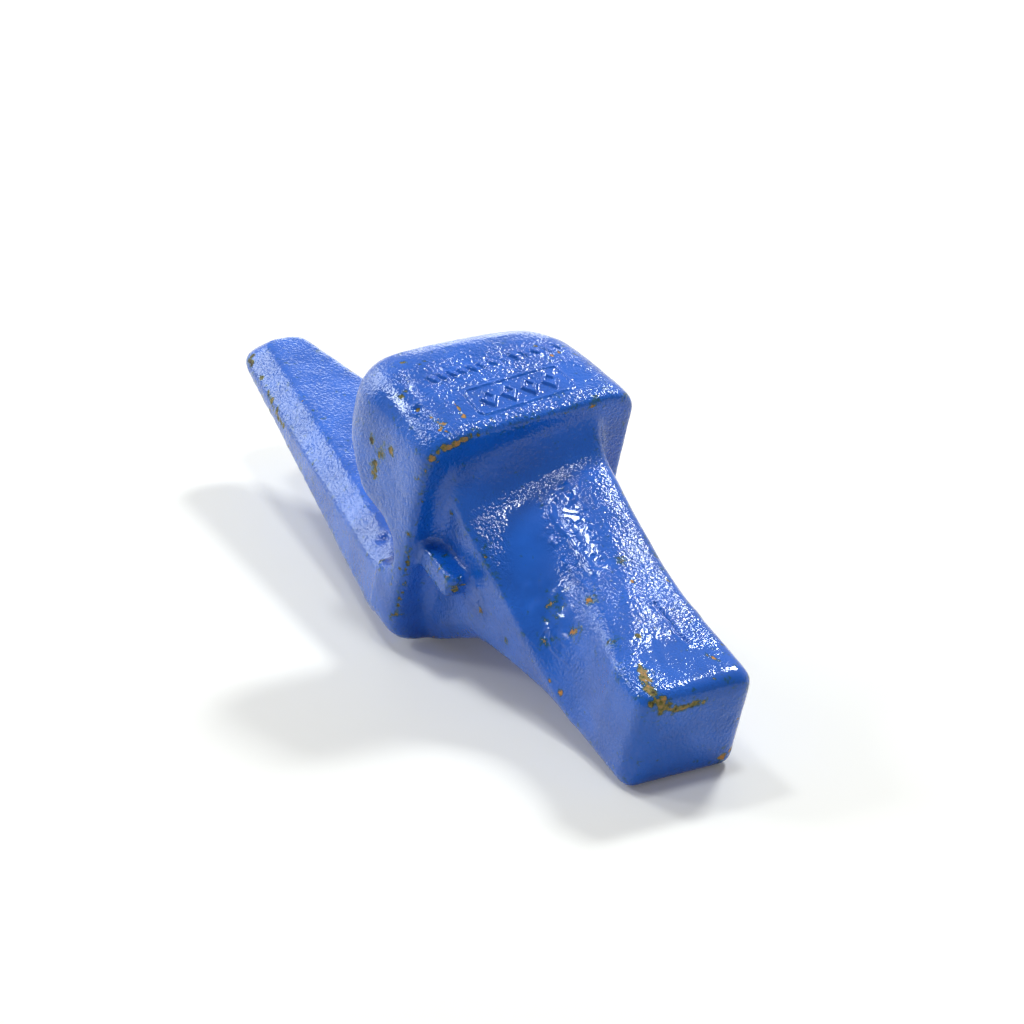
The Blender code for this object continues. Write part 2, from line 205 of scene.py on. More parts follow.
def distance_to_path(points, path):
    """Shortest distance from each point to a chain of straight stretches."""
    nearest = np.full(len(points), np.inf)
    for start, end in zip(path[:-1], path[1:]):
        along = end - start
        share = np.clip((points - start) @ along / (along @ along), 0, 1)
        gap = np.linalg.norm(points - start - share[:, None] * along, axis=1)
        nearest = np.minimum(nearest, gap)
    return nearest


plate_corners = seen_path(PLATE_CORNERS)
plate_middle = plate_corners.mean(axis=0)
plate_line = np.array([(plate_corners[0] + plate_corners[1]) / 2,
                       (plate_corners[2] + plate_corners[3]) / 2])
mark_line = seen_path(MARK_LINE)
crinkle_line = seen_path(CRINKLE_LINE)
fine_paths = [seen_path(path) for path in (PAINT_LIP, CRACK, LEDGE, CURL)] + [mark_line]


def split_near_marks(mesh, reach, plate_reach):
    """Split the squares whose middle is near a mark into four."""
    work = bmesh.new()
    work.from_mesh(mesh)
    middles = np.array([face.calc_center_median()[:] for face in work.faces])
    near = distance_to_path(middles, plate_line) < plate_reach
    near |= distance_to_path(middles, crinkle_line) < CRINKLE_REACH
    for path in fine_paths:
        near |= distance_to_path(middles, path) < reach
    near |= np.linalg.norm(middles - seen(*DIMPLE), axis=1) < reach
    chosen = {edge for face, picked in zip(work.faces, near) if picked for edge in face.edges}
    bmesh.ops.subdivide_edges(work, edges=list(chosen), cuts=1, use_grid_fill=True)
    bmesh.ops.triangulate(work, faces=[face for face in work.faces if len(face.verts) > 4])
    work.to_mesh(mesh)
    work.free()


for reach, plate_reach in zip(SPLIT_REACHES, PLATE_REACHES):
    split_near_marks(skin.data, reach, plate_reach)
triangles = sum(len(face.vertices) - 2 for face in skin.data.polygons)
print("finer net has", len(skin.data.vertices), "points and", triangles, "triangles")

# %% [markdown]
# ## Relief as a height over the skin
# Every mark from here on is a height in metres at each point of the net: plus is metal or paint
# added, minus is metal missing. Heights are added up and moved along the normals at the end, all
# points at once. A mark near a path is a soft ridge or groove whose profile is a bell curve.

# %% Points, normals and the two basic profiles
mesh = skin.data
points = points_of(mesh)
normals = np.array([normal.vector[:] for normal in mesh.vertex_normals])
height = np.zeros(len(points))


def bell(distance, width):
    """Bell curve: 1 on the path, about a third at one width from it, then nothing."""
    return np.exp(-(distance / width) ** 2)


def soft_spot(distance, radius, softness=0.35):
    """1 inside the radius and 0 outside, with a soft border that is a share of the radius."""
    share = np.clip((radius * (1 + softness) - distance) / (2 * radius * softness), 0, 1)
    return share * share * (3 - 2 * share)


def waves(places, length, seed, count=28):
    """Smooth random field of about unit size: a sum of sine waves in random directions."""
    chance = np.random.default_rng(seed)
    directions = chance.normal(size=(count, 3))
    directions /= np.linalg.norm(directions, axis=1)[:, None]
    turns = chance.uniform(0, 2 * pi, count)
    phase = places @ directions.T * (2 * pi / length) + turns
    return np.sin(phase).sum(axis=1) * np.sqrt(2 / count)


# %% [markdown]
# ## Uneven faces
# The mould's sand packs unevenly, and the metal shrinks as it cools. On the real casting no face
# is flat: it swells by a tenth of a millimetre over the width of a thumb. Random fields of
# different lengths give that, the longest one being the strongest.

# %% Swells of the cast faces
SWELLS = ((42 * MM, 0.12 * MM, 3), (15 * MM, 0.040 * MM, 4), (5.5 * MM, 0.018 * MM, 5))

for length, amount, seed in SWELLS:
    height += amount * waves(points, length, seed)
print("swells reach", round(np.abs(height).max() / MM, 2), "mm")

# %% [markdown]
# ## Soft throat under the lip
# Where the hood's front meets the flare of the nose, the real casting is fuller than a plain
# fillet: the metal runs down from the lip in one slope. A wide soft ridge along the fillet fills it.

# %% Fill of the fillet
THROAT_LINE = ((497, 464), (527, 455), (558, 446), (589, 436))
THROAT_FILL = 1.3 * MM
THROAT_WIDTH = 7 * MM

throat = distance_to_path(points, seen_path(THROAT_LINE))
height += THROAT_FILL * bell(throat, THROAT_WIDTH)
print("filled points", int((throat < THROAT_WIDTH).sum()))

# %% [markdown]
# ## Foundry marks on the hood
# The hood's top carries a raised border and raised marks, which were cut into the mould's pattern.
# Here the marks are plain: four lozenges in the border, and a row of worn bars behind it. A flat
# frame of axes on the hood turns each point of the net into a place across and along the plate.

# %% Border with lozenges, and the row of bars
BORDER_HEIGHT = 0.58 * MM
BORDER_WIDTH = 0.50 * MM
BORDER_CORNER = 2.6 * MM
PLATE_DEPTH = 6 * MM
LOZENGES = 4
LOZENGE_HEIGHT = 1.0 * MM
BARS = 13
BAR_HEIGHT = 0.95 * MM
BAR_LONG = 2.5 * MM
BAR_WIDE = 0.95 * MM
BAR_SLANT = 0.4


def unit(vector):
    """The vector divided by its length."""
    return vector / np.linalg.norm(vector)


def plate_axes():
    """Unit axes of the plate: across from its left end to its right, and towards its rear."""
    left = (plate_corners[0] + plate_corners[1]) / 2
    right = (plate_corners[2] + plate_corners[3]) / 2
    across = unit(right - left)
    rear = (plate_corners[0] + plate_corners[3] - plate_corners[1] - plate_corners[2]) / 2
    rear = unit(rear - across * (rear @ across))
    return across, rear


def border_distance(u, v, half_length, half_width, corner):
    """Distance to the outline of a rectangle with round corners, less than nothing inside."""
    out_u = np.abs(u) - half_length + corner
    out_v = np.abs(v) - half_width + corner
    outside = np.hypot(np.maximum(out_u, 0), np.maximum(out_v, 0))
    return outside + np.minimum(np.maximum(out_u, out_v), 0) - corner


across, rear = plate_axes()
upwards = np.cross(across, rear)
offset = points - plate_middle
u, v = offset @ across, offset @ rear
on_plate = np.abs(offset @ upwards) < PLATE_DEPTH
corner_offsets = plate_corners - plate_middle
half_length = np.abs(corner_offsets @ across).mean()
half_width = np.abs(corner_offsets @ rear).mean()
border = border_distance(u, v, half_length, half_width, BORDER_CORNER)
wobble = 0.12 * MM * waves(points, 5 * MM, 11)
height += on_plate * BORDER_HEIGHT * bell(border + wobble, BORDER_WIDTH)

pitch = 2 * half_length / (LOZENGES + 0.6)
for index in range(LOZENGES):
    middle = (index - (LOZENGES - 1) / 2) * pitch
    lozenge = np.abs(u - middle) / (0.40 * pitch) + np.abs(v) / (0.70 * half_width)
    hollow = np.abs(u - middle) / (0.20 * pitch) + np.abs(v) / (0.34 * half_width)
    raised = soft_spot(lozenge, 1.0, 0.18) - 0.75 * soft_spot(hollow, 1.0, 0.28)
    height += on_plate * LOZENGE_HEIGHT * raised

chance = np.random.default_rng(21)
row_start, row_end = mark_line[0], mark_line[-1]
row_bend = mark_line[1] - (row_start + row_end) / 2
for share in np.linspace(0, 1, BARS):
    centre = row_start + (row_end - row_start) * share + row_bend * 4 * share * (1 - share)
    gap = points - centre + wobble[:, None] * across
    sideways = (gap @ across + BAR_SLANT * (gap @ rear)) / (BAR_WIDE * chance.uniform(0.8, 1.3))
    lengthways = np.hypot(gap @ rear, gap @ upwards) / (BAR_LONG * chance.uniform(0.7, 1.1))
    height += chance.uniform(0.6, 1.1) * BAR_HEIGHT * soft_spot(np.hypot(sideways, lengthways), 1.0, 0.5)
print("plate is", round(2 * half_length / MM, 1), "by", round(2 * half_width / MM, 1), "mm")

# %% [markdown]
# ## Paint that ran
# The paint is thick and was put on in one coat. On the nose it gathered in a lip with a crinkled
# skin beside it, and dried in a ledge, in slow drips and in a curl round a bristle. Each is a
# ridge along a path on the surface, or a random field kept inside a soft spot. Drips and streaks
# run along the nose, so their field is stretched that way.

# %% Lip, ledge, curl, crinkles and drips
DRIP_LINE = ((534, 596), (552, 610), (566, 632))
STREAK_LINE = ((634, 582), (643, 618), (655, 660))
SCRATCH = ((505, 565), (519, 584), (534, 604), (556, 626))
SMOOTH_LINE = ((524, 520), (530, 556), (540, 590), (554, 616))
DRIP_REACH = 6 * MM
STREAK_REACH = 5 * MM
SMOOTH_REACH = 8.5 * MM
LIP_HEIGHT, LIP_WIDTH = 0.40 * MM, 1.3 * MM
LEDGE_HEIGHT, LEDGE_WIDTH = 0.32 * MM, 0.9 * MM
CURL_HEIGHT, CURL_WIDTH = 0.20 * MM, 0.45 * MM
SCRATCH_HEIGHT, SCRATCH_WIDTH = 0.20 * MM, 0.5 * MM
CRINKLE_HEIGHT, CRINKLE_LENGTH = 0.16 * MM, 4.2 * MM
DRIP_HEIGHT, DRIP_LENGTH = 0.22 * MM, 4.5 * MM
STREAK_HEIGHT, STREAK_LENGTH = 0.045 * MM, 2.6 * MM
CALM_LINE = ((664, 655), (690, 668), (722, 664))
CALM_REACH = 11 * MM

lip = distance_to_path(points, seen_path(PAINT_LIP))
ledge = distance_to_path(points, seen_path(LEDGE))
broken_up = np.clip(0.6 + 0.6 * waves(points, 5 * MM, 30), 0, 1)
height += LIP_HEIGHT * bell(lip, LIP_WIDTH)
height += LEDGE_HEIGHT * bell(ledge, LEDGE_WIDTH) * broken_up
height += CURL_HEIGHT * bell(distance_to_path(points, seen_path(CURL)), CURL_WIDTH)
height += SCRATCH_HEIGHT * bell(distance_to_path(points, seen_path(SCRATCH)), SCRATCH_WIDTH)

crinkled = soft_spot(distance_to_path(points, crinkle_line) + 0.8 * MM * waves(points, 6 * MM, 34),
                     CRINKLE_REACH, 0.25)
folds = bell(waves(points, CRINKLE_LENGTH, 31), 0.22)
height += CRINKLE_HEIGHT * crinkled * (1 - 1.2 * folds)

nose_line = unit(seen(655, 660) - seen(634, 582))
stretched = points - 0.6 * (points @ nose_line)[:, None] * nose_line
dripping = soft_spot(distance_to_path(points, seen_path(DRIP_LINE)), DRIP_REACH)
height += DRIP_HEIGHT * dripping * waves(stretched, DRIP_LENGTH, 32)
streaked = soft_spot(distance_to_path(points, seen_path(STREAK_LINE)), STREAK_REACH)
streaks = points - 0.93 * (points @ nose_line)[:, None] * nose_line
height += STREAK_HEIGHT * streaked * waves(streaks, STREAK_LENGTH, 33)
print("crinkled points", int((crinkled > 0.5).sum()), "dripping points", int((dripping > 0.5).sum()))

# %% [markdown]
# ## Faults of the casting
# Sand that broke off the mould leaves pits and warts, and a cold shut leaves a crack. The pits
# that can be seen are put where they are. The rest are strewn at random over the whole casting,
# with a fixed seed, because it is as rough on the sides that the picture doesn't show. A small
# notch lies where the strap's bevel meets the hood.

# %% Crack, dimple, notch, pits and warts
SEEN_PITS = ((395, 484), (400, 492), (391, 470), (404, 499), (378, 506), (384, 496), (728, 717),
             (483, 546), (413, 520), (396, 512), (369, 520), (501, 643))
SEEN_PIT_DEPTH, SEEN_PIT_WIDTH = 0.55 * MM, 0.75 * MM
SEEN_PIT_SQUEEZE = 0.55
CRACK_DEPTH, CRACK_WIDTH = 0.75 * MM, 0.55 * MM
CRACK_RIM_HEIGHT, CRACK_RIM_GAP, CRACK_RIM_WIDTH = 0.10 * MM, 1.3 * MM, 0.8 * MM
DIMPLE_DEPTH, DIMPLE_WIDTH = 0.8 * MM, 1.2 * MM
DIMPLE_RIM_HEIGHT, DIMPLE_RIM_RADIUS, DIMPLE_RIM_WIDTH = 0.45 * MM, 2.3 * MM, 0.8 * MM
NOTCH = (384, 537)
NOTCH_DEPTH = 1.8 * MM
NOTCH_WIDTH = 2.4 * MM
PIT_COUNT = 130
WART_COUNT = 60

crack = distance_to_path(points, seen_path(CRACK))
height -= CRACK_DEPTH * bell(crack, CRACK_WIDTH)
height += CRACK_RIM_HEIGHT * bell(crack - CRACK_RIM_GAP, CRACK_RIM_WIDTH)

from_dimple = np.linalg.norm(points - seen(*DIMPLE), axis=1)
height += (DIMPLE_RIM_HEIGHT * bell(from_dimple - DIMPLE_RIM_RADIUS, DIMPLE_RIM_WIDTH)
           - DIMPLE_DEPTH * bell(from_dimple, DIMPLE_WIDTH))
height -= NOTCH_DEPTH * bell(np.linalg.norm(points - seen(*NOTCH), axis=1), NOTCH_WIDTH)

for column, row in SEEN_PITS:
    gap = points - seen(column, row)
    gap[:, 2] *= SEEN_PIT_SQUEEZE
    height -= SEEN_PIT_DEPTH * bell(np.linalg.norm(gap, axis=1), SEEN_PIT_WIDTH)

chance = np.random.default_rng(41)
for centre in points[chance.integers(0, len(points), PIT_COUNT)]:
    width = chance.uniform(0.6, 1.3) * MM
    height -= chance.uniform(0.12, 0.38) * MM * bell(np.linalg.norm(points - centre, axis=1), width)
for centre in points[chance.integers(0, len(points), WART_COUNT)]:
    width = chance.uniform(0.7, 1.5) * MM
    height += chance.uniform(0.10, 0.28) * MM * bell(np.linalg.norm(points - centre, axis=1), width)
print("relief from", round(height.min() / MM, 2), "to", round(height.max() / MM, 2), "mm")

# %% [markdown]
# ## Where the paint has gone
# Paint breaks off first at edges and corners, and where something struck. Two values are kept
# for each point of the net: how bare it is, and the tone of what shows there, from brown scale
# through olive and ochre to fresh orange rust. Edges are found by how far a point stands out from
# the mean of its neighbours.

# %% Bare spots and their tone
CHIPS = {
    "strap end": ((249, 360, 1.7, 0.0), (262, 378, 1.0, 0.3), (271, 400, 1.3, 0.4), (276, 412, 1.5, 0.4),
                  (283, 426, 1.2, 0.4), (266, 386, 0.8, 0.5), (300, 455, 0.7, 0.3)),
    "hood side": ((372, 441, 1.5, 0.1), (384, 443, 0.9, 0.3), (391, 451, 1.7, 0.35), (375, 465, 1.3, 0.4),
                  (374, 476, 1.5, 0.4), (379, 456, 0.9, 0.3), (371, 435, 0.8, 0.2)),
    "hood front edge": ((432, 459, 1.4, 0.7), (447, 449, 1.3, 0.6), (455, 445, 1.4, 0.6),
                        (464, 440, 1.0, 0.6), (472, 436, 0.8, 0.5)),
    "hood top": ((444, 424, 0.9, 0.95), (440, 430, 0.7, 0.9), (460, 413, 0.6, 0.6), (463, 417, 0.6, 0.6),
                 (438, 420, 0.5, 0.9), (401, 396, 0.9, 0.4), (405, 391, 0.6, 0.4), (417, 409, 0.8, 0.5),
                 (420, 363, 0.6, 0.0), (424, 361, 0.5, 0.0), (402, 362, 0.5, 0.1), (446, 432, 0.6, 0.9)),
    "hood right": ((559, 352, 0.9, 1.0), (552, 355, 0.7, 0.9), (550, 360, 0.6, 0.8),
                   (576, 354, 0.5, 0.6), (536, 346, 0.5, 0.6)),
    "flange edge": ((411, 549, 0.7, 0.3), (408, 566, 0.8, 0.3), (404, 583, 0.7, 0.3), (399, 600, 0.9, 0.4),
                    (396, 614, 0.8, 0.3)),
    "nose": ((480, 611, 1.0, 0.8), (492, 615, 0.5, 0.8), (506, 640, 1.1, 0.5), (560, 692, 1.1, 1.0),
             (549, 680, 0.6, 1.0), (632, 581, 0.8, 0.95), (668, 580, 0.5, 0.8), (638, 636, 0.9, 0.5),
             (713, 658, 0.7, 0.9), (718, 661, 0.6, 0.9), (708, 655, 0.4, 0.9), (451, 514, 0.8, 0.2)),
    "lug": ((455, 590, 1.0, 0.3), (462, 585, 0.7, 0.2), (486, 556, 0.8, 0.3)),
    "tip corner": ((640, 668, 1.0, 0.5), (644, 678, 1.2, 0.6), (648, 688, 1.5, 0.5), (655, 693, 1.6, 0.4),
                   (664, 697, 1.0, 0.6)),
    "tip face": ((652, 705, 1.3, 0.3), (663, 711, 1.6, 0.3), (676, 709, 1.5, 0.3), (690, 706, 1.2, 0.4),
                 (703, 702, 1.0, 0.5), (635, 722, 0.6, 0.7), (722, 757, 1.6, 0.8), (731, 750, 1.1, 0.8)),
}
WORN_PATHS = (
    (((431, 459), (442, 448), (457, 444), (470, 438)), 0.80, 0.60),
    (((432, 417), (439, 425), (446, 432)), 0.32, 0.75),
    (((455, 404), (461, 412), (466, 418)), 0.28, 0.75),
    (((640, 665), (645, 682), (653, 696)), 1.10, 0.52),
    (((655, 700), (672, 710), (690, 707), (704, 701)), 1.15, 0.36),
    (((376, 464), (374, 478)), 1.05, 0.36),
    (((268, 392), (273, 408), (284, 428)), 0.75, 0.36),
    (((252, 356), (251, 366)), 0.95, 0.05),
    (((411, 549), (404, 583), (396, 614)), 0.42, 0.34),
)
THIN_SPOTS = ((381, 452, 4.6), (373, 470, 3.6), (596, 398, 3.4), (556, 606, 5.0), (574, 632, 4.6),
              (545, 640, 4.0), (590, 600, 3.6), (455, 588, 3.0), (446, 556, 3.0), (620, 560, 3.4),
              (650, 676, 3.6), (300, 470, 3.6), (612, 640, 3.4), (486, 548, 2.4))
STREWN_CHIPS = 34
EDGE_ROUNDS = 8
THIN_LEVEL = 0.56
CHIP_SPREAD = 1.25
CHIP_SOFTNESS = 0.8
WORN_LEVEL = 0.9
WORN_SOFTNESS = 0.9
PAINT_THICKNESS = 0.10 * MM


def standing_out(mesh, places, outward):
    """How far each point stands out from the mean of its neighbours, spread over a few rounds."""
    pairs = np.empty(len(mesh.edges) * 2, dtype=np.int64)
    mesh.edges.foreach_get("vertices", pairs)
    first, second = pairs.reshape(-1, 2).T
    count = np.bincount(pairs, minlength=len(places))

    def neighbour_mean(values):
        total = np.zeros_like(values)
        np.add.at(total, first, values[second])
        np.add.at(total, second, values[first])
        return total / (count if values.ndim == 1 else count[:, None])

    spread = ((places - neighbour_mean(places)) * outward).sum(axis=1)
    for _ in range(EDGE_ROUNDS):
        spread = neighbour_mean(spread)
    return np.clip(spread / np.percentile(spread, 99), 0, 1)


edge = standing_out(mesh, points, normals)
bare = np.zeros(len(points))
tone = np.clip(0.45 + 0.25 * waves(points, 40 * MM, 51), 0, 1)


def lay_bare(spot, colour_tone):
    """Bare amount at each point; its tone counts where the spot is the barest so far."""
    tone[spot > bare] = colour_tone
    np.maximum(bare, spot, out=bare)


def chip(centre, radius, colour_tone):
    """A round bare spot with a soft border."""
    lay_bare(soft_spot(np.linalg.norm(points - centre, axis=1), radius, CHIP_SOFTNESS), colour_tone)


for spots in CHIPS.values():
    for column, row, size, colour_tone in spots:
        chip(seen(column, row), CHIP_SPREAD * size * MM, colour_tone)
for path, width, colour_tone in WORN_PATHS:
    gap = distance_to_path(points, seen_path(path)) + 0.3 * MM * waves(points, 3 * MM, 53)
    lay_bare(WORN_LEVEL * soft_spot(gap, CHIP_SPREAD * width * MM, WORN_SOFTNESS), colour_tone)
chance = np.random.default_rng(52)
likely = np.flatnonzero(edge > 0.45)
for index in chance.choice(likely, STREWN_CHIPS, replace=False):
    chip(points[index], chance.uniform(0.4, 1.0) * MM, chance.uniform(0.1, 0.8))
for column, row, size in THIN_SPOTS:
    gap = np.linalg.norm(points - seen(column, row), axis=1)
    np.maximum(bare, THIN_LEVEL * bell(gap, size * MM), out=bare)
height -= PAINT_THICKNESS * bare
print("bare points", int((bare > 0.5).sum()), "edge points", int((edge > 0.5).sum()))

# %% [markdown]
# ## Where the paint is thick
# Thick paint fills the cast grain and dries smooth. A third value says how smooth each point is:
# 1 on the nose's dark facet, on the crinkles and beside the lip, and less on the drips, round the
# raised marks, in a calm patch above the tip and at the hood's shiny corner.

# %% Smoothness of the paint
DRIP_SMOOTHNESS = 0.6
CALM_SMOOTHNESS = 0.85
PLATE_SMOOTHNESS = 0.45
CORNER_SMOOTHNESS, CORNER_REACH = 0.7, 8 * MM
LIP_SMOOTH_WIDTH = 2.2 * MM

polish = np.maximum.reduce([
    soft_spot(distance_to_path(points, seen_path(SMOOTH_LINE)), SMOOTH_REACH, 0.5),
    DRIP_SMOOTHNESS * dripping,
    CALM_SMOOTHNESS * soft_spot(distance_to_path(points, seen_path(CALM_LINE)), CALM_REACH, 0.4),
    PLATE_SMOOTHNESS * on_plate * (distance_to_path(points, plate_line) < PLATE_REACHES[0]),
    crinkled,
    bell(lip, LIP_SMOOTH_WIDTH),
    CORNER_SMOOTHNESS * soft_spot(np.linalg.norm(points - seen(*SHINY_CORNER), axis=1), CORNER_REACH, 0.6)])
print("smooth points", int((polish > 0.5).sum()))

# %% [markdown]
# ## Move the skin and keep the values
# Now the heights move the points along their normals. The casting's box stays as drawn, so the
# skin is kept inside it. The four values go into the mesh as attributes, which the paint reads.

# %% Skin takes its relief
low, high = (np.array(corner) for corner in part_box("adapter_casting"))
points = np.clip(points + normals * height[:, None], low, high)
mesh.vertices.foreach_set("co", points.ravel())
mesh.shade_smooth()
mesh.update()
for name, values in (("bare", bare), ("tone", tone), ("polish", polish), ("edge", edge)):
    mesh.attributes.new(name, "FLOAT", "POINT").data.foreach_set("value", values.astype(np.float32))
print("skin box in mm", np.round(points.min(axis=0) / MM, 1), np.round(points.max(axis=0) / MM, 1))

# %% [markdown]
# ## Paint over a sand-cast skin
# The colour is a deep gloss blue. What makes it look like a painted casting is the grain under
# it: sand grains about a millimetre apart, softened by the paint, which break each reflection
# into sparks. The grain is a bump of two textures. Where the paint is thick it is nearly smooth.

# %% Node helpers
def add_node(tree, kind, sockets=None, **settings):
    """A node with its settings. Each socket gets a number, a colour or another node's output."""
    made = tree.nodes.new(kind)
    for name, value in settings.items():
        setattr(made, name, value)
    for name, value in (sockets or {}).items():
        if isinstance(value, bpy.types.NodeSocket):
            tree.links.new(value, made.inputs[name])
        else:
            made.inputs[name].default_value = value
    return made


def calculate(tree, operation, first, second=0.0):
    """One step of arithmetic on two values."""
    return add_node(tree, "ShaderNodeMath", {0: first, 1: second}, operation=operation).outputs[0]


def stored(tree, name):
    """A value that the mesh keeps at each of its points."""
    return add_node(tree, "ShaderNodeAttribute", attribute_name=name).outputs["Fac"]


def noise(tree, places, scale, detail=2.0, roughness=0.5):
    """Cloudy random value from 0 to 1, with a mean of 0.5 and about scale clouds in a metre."""
    sockets = {"Vector": places, "Scale": scale, "Detail": detail, "Roughness": roughness}
    return add_node(tree, "ShaderNodeTexNoise", sockets).outputs["Fac"]


def step_between(tree, value, start, end):
    """0 below start, 1 above end and a soft step between them."""
    sockets = {"Value": value, "From Min": start, "From Max": end}
    return add_node(tree, "ShaderNodeMapRange", sockets,
                    interpolation_type="SMOOTHSTEP").outputs["Result"]


def blend_colours(tree, share, first, second):
    """First where the share is 0 and second where it is 1."""
    made = add_node(tree, "ShaderNodeMix", {"Factor": share}, data_type="RGBA")
    for socket, value in ((made.inputs[6], first), (made.inputs[7], second)):
        if isinstance(value, bpy.types.NodeSocket):
            tree.links.new(value, socket)
        else:
            socket.default_value = (*value, 1.0)
    return made.outputs[2]


print("node helpers are ready")

# %% Colours of the paint and of what lies under it
DEEP_BLUE = (0.005, 0.100, 0.50)
FULL_BLUE = (0.009, 0.130, 0.63)
THIN_TEAL = (0.010, 0.085, 0.115)
SCALE_BROWN = (0.045, 0.030, 0.018)
OLIVE = (0.160, 0.150, 0.030)
OCHRE = (0.34, 0.215, 0.085)
ORANGE_RUST = (0.58, 0.23, 0.045)

paint = bpy.data.materials.new("blue_paint")
paint.use_nodes = True
tree = paint.node_tree
shader = tree.nodes["Principled BSDF"]
places = add_node(tree, "ShaderNodeTexCoord").outputs["Object"]
print("blue from", DEEP_BLUE, "to", FULL_BLUE)

# %% [markdown]
# ### Bare or painted
# The stored bare value has soft round borders. Two noises are added before the cut, a coarse and
# a fine one, so each chip becomes a ragged patch with specks beside it. Around it the paint is
# thin and looks teal.

# %% Masks for chips and worn edges
COARSE_SCALE, COARSE_WEIGHT = 260, 1.3
FINE_SCALE, FINE_WEIGHT = 640, 1.5

coarse = calculate(tree, "SUBTRACT", noise(tree, places, COARSE_SCALE, 2.0), 0.5)
fine = calculate(tree, "SUBTRACT", noise(tree, places, FINE_SCALE, 3.0, 0.6), 0.5)
ragged = calculate(tree, "ADD", calculate(tree, "MULTIPLY", coarse, COARSE_WEIGHT),
                   calculate(tree, "MULTIPLY", fine, FINE_WEIGHT))
worn_edge = calculate(tree, "MULTIPLY", stored(tree, "edge"), noise(tree, places, 90, 3.0))
wear = calculate(tree, "MAXIMUM", stored(tree, "bare"), calculate(tree, "MULTIPLY", worn_edge, 0.55))
broken = calculate(tree, "ADD", wear, ragged)
is_bare = step_between(tree, broken, 0.64, 0.71)
is_thin = step_between(tree, broken, 0.24, 0.62)
print("masks take", len(tree.nodes), "nodes")

# %% [markdown]
# ### Colour
# The blue is a little cloudy, as brushed paint is. A colour ramp turns the stored tone into the
# colour of a bare spot, and a noise added to the tone mottles it.

# %% Colour
CLOUD_SCALE = 55
MOTTLE_SCALE, MOTTLE_WEIGHT = 560, 2.4

cloudy = step_between(tree, noise(tree, places, CLOUD_SCALE, 3.0), 0.3, 0.7)
blue = blend_colours(tree, cloudy, DEEP_BLUE, FULL_BLUE)
blue = blend_colours(tree, calculate(tree, "MULTIPLY", is_thin, 0.85), blue, THIN_TEAL)
mottle = calculate(tree, "SUBTRACT", noise(tree, places, MOTTLE_SCALE, 3.0, 0.65), 0.5)
mottle = calculate(tree, "MULTIPLY", mottle, MOTTLE_WEIGHT)
tones = add_node(tree, "ShaderNodeValToRGB",
                 {"Fac": calculate(tree, "ADD", stored(tree, "tone"), mottle)})
ramp = tones.color_ramp
ramp.elements[0].position = 0.0
ramp.elements[0].color = (*SCALE_BROWN, 1)
ramp.elements[1].position = 1.0
ramp.elements[1].color = (*ORANGE_RUST, 1)
for position, colour in ((0.34, OLIVE), (0.68, OCHRE)):
    ramp.elements.new(position).color = (*colour, 1)
colour = blend_colours(tree, is_bare, blue, tones.outputs["Color"])
tree.links.new(colour, shader.inputs["Base Color"])
print("bare metal has", len(ramp.elements), "tones")

# %% [markdown]
# ### Grain and gloss
# The grain is strong where the paint is thin and nearly gone where it is thick, and it varies from
# patch to patch. The gloss varies a little too. Bare metal is rough and lies below the paint.

# %% Grain and gloss
GRAIN_SCALE = 840
GRAIN_DEPTH = 0.38 * MM
GRIT_FINENESS, GRIT_WEIGHT = 2.3, 0.20
POLISH_SHARE = 0.93
PATCH_SCALE, PATCH_LEAST = 75, 0.45
GLOSS_SCALE, GLOSS_LEAST, GLOSS_SPREAD = 240, 0.05, 0.08
BARE_STEP = 0.35
BARE_ROUGHNESS = 0.45
BARE_DULLNESS = 0.3

peel = noise(tree, places, GRAIN_SCALE, 1.0, 0.5)
grit = noise(tree, places, GRAIN_SCALE * GRIT_FINENESS, 1.0, 0.5)
grain = calculate(tree, "ADD", peel, calculate(tree, "MULTIPLY", grit, GRIT_WEIGHT))
thick = calculate(tree, "MULTIPLY", stored(tree, "polish"), POLISH_SHARE)
smoothed = calculate(tree, "SUBTRACT", 1.0, thick)
patchy = calculate(tree, "ADD", PATCH_LEAST, noise(tree, places, PATCH_SCALE, 2.0))
relief = calculate(tree, "MULTIPLY", grain, calculate(tree, "MULTIPLY", smoothed, patchy))
relief = calculate(tree, "SUBTRACT", relief, calculate(tree, "MULTIPLY", is_bare, BARE_STEP))
bump = add_node(tree, "ShaderNodeBump", {"Strength": 1.0, "Distance": GRAIN_DEPTH, "Height": relief})
tree.links.new(bump.outputs["Normal"], shader.inputs["Normal"])
spread = calculate(tree, "MULTIPLY", noise(tree, places, GLOSS_SCALE, 2.0), GLOSS_SPREAD)
gloss = calculate(tree, "ADD", GLOSS_LEAST, spread)
tree.links.new(calculate(tree, "ADD", gloss, calculate(tree, "MULTIPLY", is_bare, BARE_ROUGHNESS)),
               shader.inputs["Roughness"])
tree.links.new(calculate(tree, "SUBTRACT", 0.5, calculate(tree, "MULTIPLY", is_bare, BARE_DULLNESS)),
               shader.inputs["Specular IOR Level"])
shader.inputs["IOR"].default_value = 1.5
mesh.materials.clear()
mesh.materials.append(paint)
print("paint has", len(tree.nodes), "nodes")

# %% [markdown]
# ## The piece takes the casting's place
# The skin stands for the casting's node, rides on the one body there is and takes the finish of
# the record's slot.

# %% Skin replaces the node
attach(skin, "root")
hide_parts("adapter_casting")
print(skin.name, "stands for adapter_casting")

# %% [markdown]
# ## Light
# Gloss paint shows the lamps themselves, so where they stand matters more than how strong they
# are. A soft box at the back right gives the tops their sheen and sparks. Two high lamps do so for
# the root of the nose and its crinkled paint. A wide low one greys the left bevels, a small one
# gives the hood's round corner its highlight, and a weak one lifts the hood's rear.

